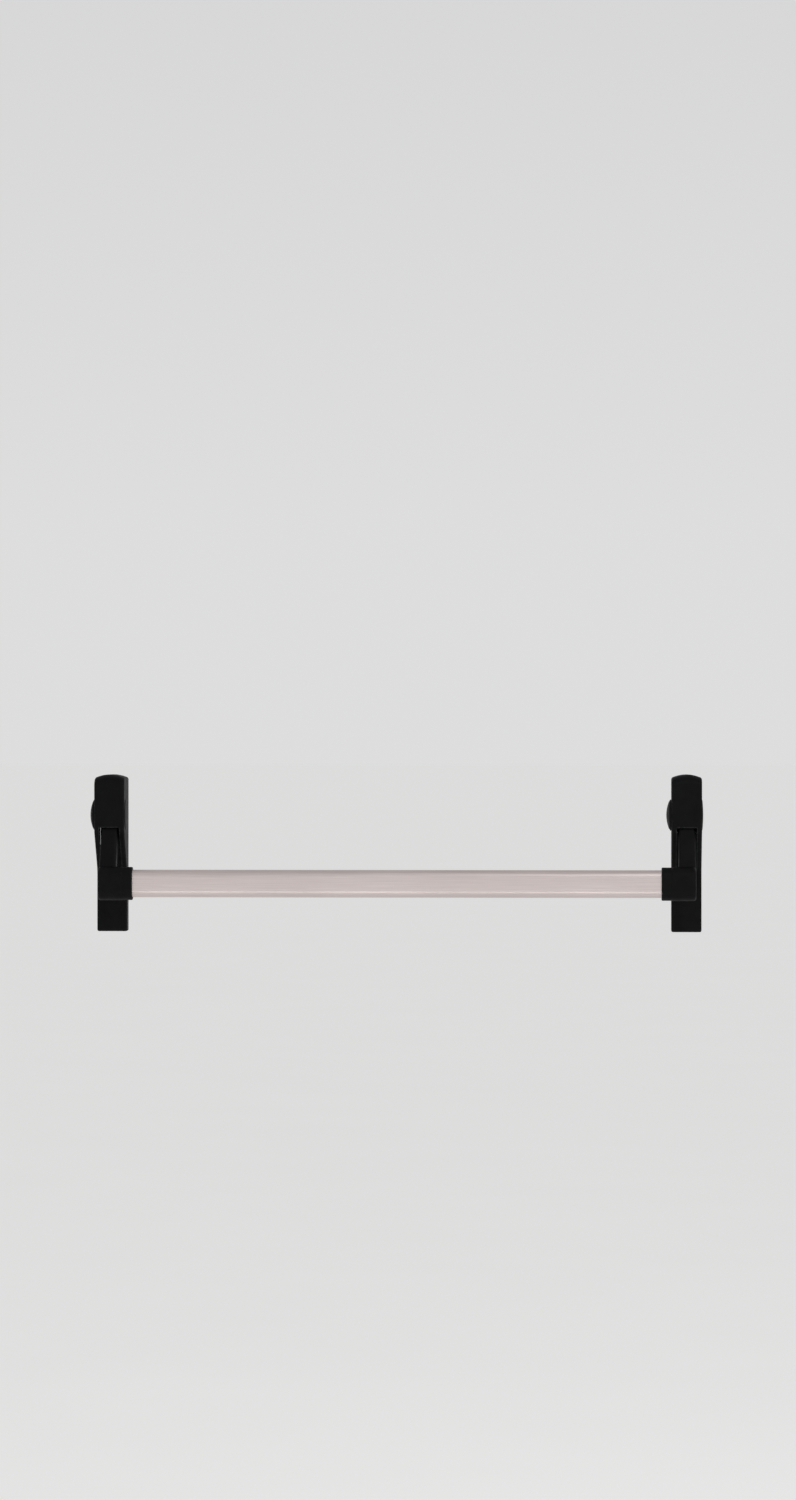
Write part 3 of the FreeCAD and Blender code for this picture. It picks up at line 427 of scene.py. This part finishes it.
MATERIALS = {
    "black_coating": black_coating("black_powder_coat", 2.2),
    "satin_bar": satin_bar(),
    "plated_steel": worked_metal("zinc_plated_steel", (0.42, 0.43, 0.42), (0.56, 0.56, 0.54),
                                 (0.26, 0.40), 260),
    "bright_steel": worked_metal("turned_steel", (0.47, 0.47, 0.48), (0.6, 0.6, 0.61),
                                 (0.2, 0.32), 1500, (1, 0.1, 0.1)),
    "spring_steel": worked_metal("spring_steel", (0.14, 0.14, 0.15), (0.26, 0.26, 0.27),
                                 (0.28, 0.4), 700),
    "black_plated": worked_metal("black_zinc_plate", (0.03, 0.03, 0.032), (0.055, 0.055, 0.06),
                                 (0.3, 0.45), 400),
    "black_screws": worked_metal("black_oxide", (0.016, 0.016, 0.018), (0.04, 0.04, 0.043),
                                 (0.34, 0.48), 900),
    "bronze": worked_metal("sintered_bronze", (0.36, 0.23, 0.11), (0.52, 0.35, 0.18),
                           (0.32, 0.5), 1400, bump=0.2),
    "nylon": moulded("black_nylon", (0.03, 0.03, 0.031), (0.05, 0.05, 0.052),
                     (0.45, 0.6), 900, 0.1),
    "rubber": moulded("black_rubber", (0.017, 0.017, 0.017), (0.03, 0.03, 0.03),
                      (0.7, 0.85), 1200, 0.2),
}
CAP_COATING = black_coating("black_powder_coat_caps", 0.5)
SLOT_OF = {item["node"]: item["material_slot"] for item in frame["record"]["subparts"]}


def finish_piece(piece, slot, body, *nodes, material=None):
    """Give a piece its material, its body, and the CAD nodes that it stands for."""
    piece.data.materials.clear()
    piece.data.materials.append(material or MATERIALS[slot])
    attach(piece, body)
    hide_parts(*nodes)


# ---------------------------------------------------------------- covers

def cover_path(inset):
    """Side view of the cover, drawn in by an inset, from its bottom round to its top, as (y, z)."""
    base, head = BASE_DEPTH - inset, HEAD_DEPTH - inset
    slope = (HEAD_DEPTH - BASE_DEPTH) / (HEAD_LOW - TAPER_LOW)
    lift = inset * (math.sqrt(1 + slope * slope) - 1) / slope
    corners = [
        (0, BOTTOM + inset, 0),
        (-base, BOTTOM + inset, FOOT_RADIUS - inset),
        (-base, TAPER_LOW + lift, NECK_RADIUS + inset),
        (-head, HEAD_LOW + lift, CHIN_RADIUS - inset),
        (-head, TOP - inset, BROW_RADIUS - inset),
        (0, TOP - inset, 0),
    ]
    return rounded_path(corners)


def path_normals(path):
    """Outward direction at each point of a path that has its body on its right."""
    normals = []
    for number in range(len(path)):
        ahead = path[min(number + 1, len(path) - 1)]
        behind = path[max(number - 1, 0)]
        along = (ahead - behind).normalized()
        normals.append(Vector((-along.y, along.x)))
    return normals


def crown(x, z):
    """How far the domed top falls away at a point of the cover."""
    weight = min(max((z - (TOP - DOME_REACH)) / DOME_REACH, 0), 1)
    weight = weight * weight * (3 - 2 * weight)
    return DOME_RISE * (x / HALF) ** 2 * weight


def make_cover_shell(name, centre_x):
    """Outside of the cover: the side view, made wide, with rounded side edges."""
    steps = 6
    arc = []
    for step in range(steps + 1):
        angle = math.pi / 2 * step / steps
        arc.append((HALF - SIDE_RADIUS * (1 - math.sin(angle)),
                    SIDE_RADIUS * (1 - math.cos(angle))))
    left = [(-x, inset) for x, inset in reversed(arc)]
    middle = [(x, 0) for x in range(-15, 16, 5)]
    stations = left + middle + arc
    path = cover_path(0)
    normals = path_normals(path)
    normals[0], normals[-1] = Vector((0, -1)), Vector((0, 1))
    rings = []
    for x, inset in stations:
        ring = []
        for point, normal in zip(path, normals):
            y, z = point - normal * inset
            ring.append((centre_x + x, min(y, 0), z - crown(x, z)))
        rings.append(ring)
    return new_object(name, *loft(rings))


def make_cover(side):
    """Cast cover: shell, hollow, arm slot, and countersinks in the bottom face."""
    x = CENTRE[side]
    piece = make_cover_shell(side + "_cover_body", x)
    ceiling = TOP - DOME_RISE - WALL
    inside = []
    for offset in (WALL - HALF, HALF - WALL):
        ring = [(x + offset, y, min(z - crown(offset, z), ceiling)) for y, z in cover_path(WALL)]
        inside.append([(x + offset, 1, BOTTOM + WALL)] + ring + [(x + offset, 1, ceiling)])
    tools = [
        new_object("inside", *loft(inside)),
        block("slot", (x - SLOT_HALF, -HEAD_DEPTH - 1, TAPER_LOW + 2),
              (x + SLOT_HALF, -BASE_DEPTH + WALL + 0.5, SLOT_TOP)),
    ]
    head, shank = 4.1, 2.2
    seat = [(BOTTOM - 1, head), (BOTTOM, head), (BOTTOM + head - shank, shank), (BOTTOM + 6, shank)]
    for offset in (-COVER_SCREW_X, COVER_SCREW_X):
        tools.append(lathe("seat", "Z", seat, (x + offset, COVER_SCREW_Y, 0), 48))
    carve(piece, tools)
    clean(piece)
    bevel(piece, 0.7)
    finish_piece(piece, "black_coating", "cases", side + "_cover")


# ---------------------------------------------------------------- pivot caps

def make_cap(side, name, face, direction, rim, dome):
    """Round cap: rim with a rolled edge, a fine step, and a shallow dome."""
    sphere = (CAP_RADIUS * CAP_RADIUS + dome * dome) / (2 * dome)
    spigot, groove = 8, 0.4
    dome_radius = CAP_RADIUS - 2.2
    roll = min(rim, 1.0)
    profile = [(-1.5, spigot), (-0.1, spigot), (0, CAP_RADIUS - 0.5), (0, CAP_RADIUS)]
    for step in range(6):
        angle = math.pi / 2 * step / 5
        profile.append((rim - roll + roll * math.sin(angle),
                        CAP_RADIUS - roll * 0.7 * (1 - math.cos(angle))))
    profile.append((rim, dome_radius + groove))
    for step in range(25):
        reach = dome_radius * (1 - step / 24)
        profile.append((rim + dome - sphere + math.sqrt(sphere * sphere - reach * reach), reach))
    turned = [(direction * along, reach) for along, reach in profile]
    centre = (CENTRE[side] + face, PIVOT_Y, PIVOT_Z)
    piece = lathe(f"{side}_{name}_turned", "X", turned, centre)
    finish_piece(piece, "black_coating", "cases", f"{side}_{name}", material=CAP_COATING)


# ---------------------------------------------------------------- arms

def arm_frame():
    """Unit vectors in the YZ plane, down the arm and to its front, and the arm's length."""
    down = Vector((BAR_Y - PIVOT_Y, BAR_Z - PIVOT_Z))
    length = down.length
    down = down / length
    return down, Vector((down.y, -down.x)), length


def make_shaft(name, x):
    """Beam from the hub to the bar, with a slight waist and rounded edges."""
    down, front, length = arm_frame()
    waist = 0.07
    rings = []
    for step in range(25):
        share = step / 24
        half_x = ARM_HALF * (1 - waist * math.sin(math.pi * share))
        ring = []
        for sign_x, sign_f, start in ((1, 1, 0), (-1, 1, 1), (-1, -1, 2), (1, -1, 3)):
            reach = SHAFT_FORE if sign_f > 0 else SHAFT_AFT
            for turn in range(7):
                angle = math.pi / 2 * (start + turn / 6)
                u = sign_x * (half_x - SHAFT_CORNER) + SHAFT_CORNER * math.cos(angle)
                v = sign_f * (reach - SHAFT_CORNER) + SHAFT_CORNER * math.sin(angle)
                spot = Vector((PIVOT_Y, PIVOT_Z)) + down * length * share + front * v
                ring.append((x + u, spot.x, spot.y))
        rings.append(ring)
    return new_object(name, *loft(rings))


def make_hollow(name, x):
    """Cutter for the hollow in the back of the shaft, with drafted sides."""
    down, front, length = arm_frame()
    side_wall, start, end = 4, 21, length - 25
    rings = []
    for depth, draft in ((-11, 0), (3, 1)):
        ring = []
        for sign, along in ((-1, start + draft), (1, start + draft), (1, end - draft),
                            (-1, end - draft)):
            spot = Vector((PIVOT_Y, PIVOT_Z)) + down * along + front * depth
            ring.append((x + sign * (ARM_HALF - side_wall - draft), spot.x, spot.y))
        rings.append(ring)
    return new_object(name, *loft(rings))


def make_hub(name, x):
    """Hub of the arm, with rounded rims."""
    roll = 1.5
    profile = [(-ARM_HALF, HUB_RADIUS - roll)]
    for side in (-1, 1):
        for step in range(5):
            share = step / 4 if side < 0 else 1 - step / 4
            angle = math.pi / 2 * share
            profile.append((side * (ARM_HALF - roll + roll * math.cos(angle)),
                            HUB_RADIUS - roll + roll * math.sin(angle)))
    return lathe(name, "X", profile, (x, PIVOT_Y, PIVOT_Z), 64)


def make_crank_web(name, x, direction, crank_y, crank_z):
    """Web between the hub and the end of the crank."""
    pivot, pin = Vector((PIVOT_Y, PIVOT_Z)), Vector((crank_y, crank_z))
    along = (pin - pivot).normalized()
    beside = Vector((-along.y, along.x))
    root = 9
    outline = [pivot + beside * root, pivot - beside * root,
               pin - beside * CRANK_RADIUS, pin + beside * CRANK_RADIUS]
    rings = [[(x + direction * across, spot.x, spot.y) for spot in outline]
             for across in (CRANK_NEAR, CRANK_FAR)]
    return new_object(name, *loft(rings))


def arm_cutters(side, direction):
    """Sharp-edged cuts in an arm: the bar's socket, the pivot bore and the screw threads."""
    x = CENTRE[side]
    chamfer = 0.6
    mouth = COLLAR_REACH
    stations = ((mouth + 1, chamfer), (mouth, chamfer), (mouth - chamfer, 0),
                (mouth - SOCKET_DEPTH, 0))
    socket = [bar_ring(x + direction * place, SOCKET_RADIUS + extra) for place, extra in stations]
    bore = [(-ARM_HALF - 1, BORE_RADIUS), (ARM_HALF + 1, BORE_RADIUS)]
    cutters = [
        new_object("socket", *loft(socket)),
        lathe("bore", "X", bore, (x, PIVOT_Y, PIVOT_Z), 64),
    ]
    screw_low, screw_high = box_mm(side + "_bar_screws")
    screw_radius = (screw_high.z - screw_low.z) / 2
    for screw_x in (screw_low.x + screw_radius, screw_high.x - screw_radius):
        thread = [[(screw_x + THREAD_RADIUS * math.cos(turn * math.pi / 20), y,
                    BAR_Z + THREAD_RADIUS * math.sin(turn * math.pi / 20)) for turn in range(40)]
                  for y in (BAR_Y + 11, BAR_Y + 20)]
        cutters.append(new_object("thread", *loft(thread)))
    return cutters


def make_arm(side, direction):
    """Cast lever: hub, shaft, knuckle, collar and crank melted together, then cut."""
    x = CENTRE[side]
    piece = make_shaft(side + "_arm_cast", x)
    crank_low, crank_high = box_mm(side + "_crank_pin")
    crank_y = (crank_low.y + crank_high.y) / 2
    crank_z = (crank_low.z + crank_high.z) / 2
    near, far = direction * CRANK_NEAR, direction * CRANK_FAR
    crank = [(near, 0), (near, CRANK_RADIUS), (far, CRANK_RADIUS), (far, 0)]
    joined = [
        make_hub("hub", x),
        rounded_oval("knuckle", x + direction * HALF, x - direction * ARM_HALF,
                     COLLAR_RADIUS + 0.5, 4, 0.4),
        rounded_oval("collar", x + direction * COLLAR_REACH, x + direction * 2,
                     COLLAR_RADIUS, 1, 1),
        lathe("crank", "X", crank, (x, crank_y, crank_z), 48),
        make_crank_web("web", x, direction, crank_y, crank_z),
    ]
    carve(piece, joined, "UNION")
    carve(piece, [make_hollow("hollow", x)])
    melt = piece.modifiers.new("melt", "REMESH")
    melt.mode = "VOXEL"
    melt.voxel_size = 0.5 * MM
    soften = piece.modifiers.new("soften", "SMOOTH")
    soften.factor = 0.5
    soften.iterations = 7
    bake(piece)
    carve(piece, arm_cutters(side, direction))
    split_large_faces(piece)
    clean(piece, smooth_angle=38)
    finish_piece(piece, "black_coating", "push_bar", side + "_arm")


# ---------------------------------------------------------------- bar

def make_bar():
    """Oval tube with finely rounded cut ends."""
    steps, roll = 60, 0.3
    start, end = TUBE_LOW.x, TUBE_HIGH.x
    stations = [(start, roll), (start + roll, 0)]
    span = end - start - 2 * roll
    stations += [(start + roll + span * step / steps, 0) for step in range(1, steps + 1)]
    stations.append((end, roll))
    outside = [bar_ring(x, BAR_RADIUS - inset) for x, inset in stations]
    inside = [bar_ring(x, BAR_RADIUS - BAR_WALL) for x in (end, start)]
    piece = new_object("bar_oval", *loft(outside + inside + [outside[0]], closed=False))
    finish_piece(piece, "satin_bar", "push_bar", "bar_tube")


# ---------------------------------------------------------------- spindle

def make_spindle():
    """Square spindle with rolled corners and a chamfered far end."""
    low, high = box_mm("lock_spindle")
    centre = (low + high) / 2
    half = (high.x - low.x) / 2
    corner, chamfer = 0.7, 0.9
    rings = []
    for y, inset in ((low.y, 0.2), (low.y + 0.2, 0), (high.y - chamfer, 0), (high.y, chamfer)):
        reach = half - inset - corner
        ring = []
        for number, (sign_x, sign_z) in enumerate(((1, 1), (-1, 1), (-1, -1), (1, -1))):
            for step in range(6):
                angle = math.pi / 2 * (number + step / 5)
                ring.append((centre.x + sign_x * reach + corner * math.cos(angle), y,
                             centre.z + sign_z * reach + corner * math.sin(angle)))
        rings.append(ring)
    piece = new_object("lock_spindle_bar", *loft(rings))
    finish_piece(piece, "plated_steel", "follower", "lock_spindle")


# ---------------------------------------------------------------- springs

def make_spring(side):
    """Coil spring wound from its foot up to its fixed top end."""
    node = side + "_return_spring"
    low, high = box_mm(node)
    wire = SPRING_WIRE / 2
    radius = (high.x - low.x) / 2 - wire
    foot = Vector((CENTRE[side], (low.y + high.y) / 2, low.z + wire))
    height = high.z - low.z - SPRING_WIRE
    turns = height / SPRING_PITCH
    steps, around = round(turns * 36), 16
    rings = []
    for step in range(steps + 1):
        angle = 2 * math.pi * turns * step / steps
        outward = Vector((math.cos(angle), math.sin(angle), 0))
        beside = Vector((-math.sin(angle), math.cos(angle), 0))
        along = (beside * radius * 2 * math.pi + Vector((0, 0, SPRING_PITCH))).normalized()
        upward = outward.cross(along)
        spot = foot + outward * radius + Vector((0, 0, height * step / steps))
        rings.append([spot + outward * wire * math.cos(turn * 2 * math.pi / around)
                      + upward * wire * math.sin(turn * 2 * math.pi / around)
                      for turn in range(around)])
    piece = new_object(side + "_spring_coil", *loft(rings))
    finish_piece(piece, "spring_steel", "cases", node)
    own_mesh(piece)


# ---------------------------------------------------------------- build

for side, direction in (("lock", 1), ("hinge", -1)):
    make_cover(side)
    make_cap(side, "large_cap", -HALF, -1, 2.5, 5.0)
    make_cap(side, "small_cap", HALF, 1, 0.8, 1.2)
    make_arm(side, direction)
    make_spring(side)
make_bar()
make_spindle()

for name, node in frame["nodes"].items():
    node.data.materials.clear()
    node.data.materials.append(MATERIALS[SLOT_OF[name]])


# ---------------------------------------------------------------- studio

def make_floor():
    """Plain pale floor at the height of a door's foot, as bright as its surroundings."""
    reach, height = 300.0, -0.85
    mesh = bpy.data.meshes.new("studio_floor")
    mesh.from_pydata([(-reach, -reach, height), (reach, -reach, height),
                      (reach, reach, height), (-reach, reach, height)], [], [(0, 1, 2, 3)])
    floor = bpy.data.objects.new("studio_floor", mesh)
    bpy.context.scene.collection.objects.link(floor)
    nodes = Nodes("pale_floor")
    nodes.colour(nodes.noise(3, 3), (0.78, 0.78, 0.775), (0.81, 0.81, 0.805))
    nodes.set(Roughness=0.9, Specular_IOR_Level=0.0, Emission_Color=(1, 1, 1, 1),
              Emission_Strength=0.26)
    mesh.materials.append(nodes.material)


def make_light(name, place, target, size, power, spread=180):
    """Soft rectangular lamp aimed at a point, with its light kept within a cone."""
    lamp = bpy.data.lights.new(name, "AREA")
    lamp.shape = "RECTANGLE"
    lamp.size, lamp.size_y = size
    lamp.energy = power
    lamp.spread = math.radians(spread)
    light = bpy.data.objects.new(name, lamp)
    light.location = place
    light.rotation_euler = (Vector(target) - Vector(place)).to_track_quat("-Z", "Y").to_euler()
    light.visible_camera = False
    bpy.context.scene.collection.objects.link(light)


def make_camera():
    """Level camera a little to the right, with a frame as high as a door and its surroundings."""
    frame_height = 2.1987
    target = Vector((0.4184, 0, 0.1506))
    place = Vector((0.72, -6.6, 0.1506))
    lens = bpy.data.cameras.new("camera")
    lens.sensor_width = 36
    lens.lens = lens.sensor_width * (target - place).length / frame_height
    camera = bpy.data.objects.new("camera", lens)
    camera.location = place
    camera.rotation_euler = (target - place).to_track_quat("-Z", "Y").to_euler()
    bpy.context.scene.collection.objects.link(camera)
    bpy.context.scene.camera = camera


def make_world():
    """Pale surroundings, a little darker overhead."""
    world = bpy.data.worlds.new("studio")
    world.use_nodes = True
    tree = world.node_tree
    tree.nodes["Background"].inputs["Color"].default_value = (1, 1, 1, 1)
    spread = tree.nodes.new("ShaderNodeTexCoord").outputs["Generated"]
    split = tree.nodes.new("ShaderNodeSeparateXYZ")
    height = tree.nodes.new("ShaderNodeMapRange")
    for socket, number in (("From Min", 0.05), ("From Max", 0.5), ("To Min", 0.725),
                           ("To Max", 0.56)):
        height.inputs[socket].default_value = number
    tree.links.new(spread, split.inputs["Vector"])
    tree.links.new(split.outputs["Z"], height.inputs["Value"])
    tree.links.new(height.outputs["Result"], tree.nodes["Background"].inputs["Strength"])
    bpy.context.scene.world = world


make_floor()
make_world()
make_light("key", (1.6, -2.4, 1.7), (0.42, 0, 0), (1.4, 1.4), 14)
make_light("low", (0.42, -1.7, -0.78), (0.42, 0, -0.04), (1.4, 0.5), 0.36, 50)
make_camera()
bpy.context.scene.view_settings.view_transform = "Standard"
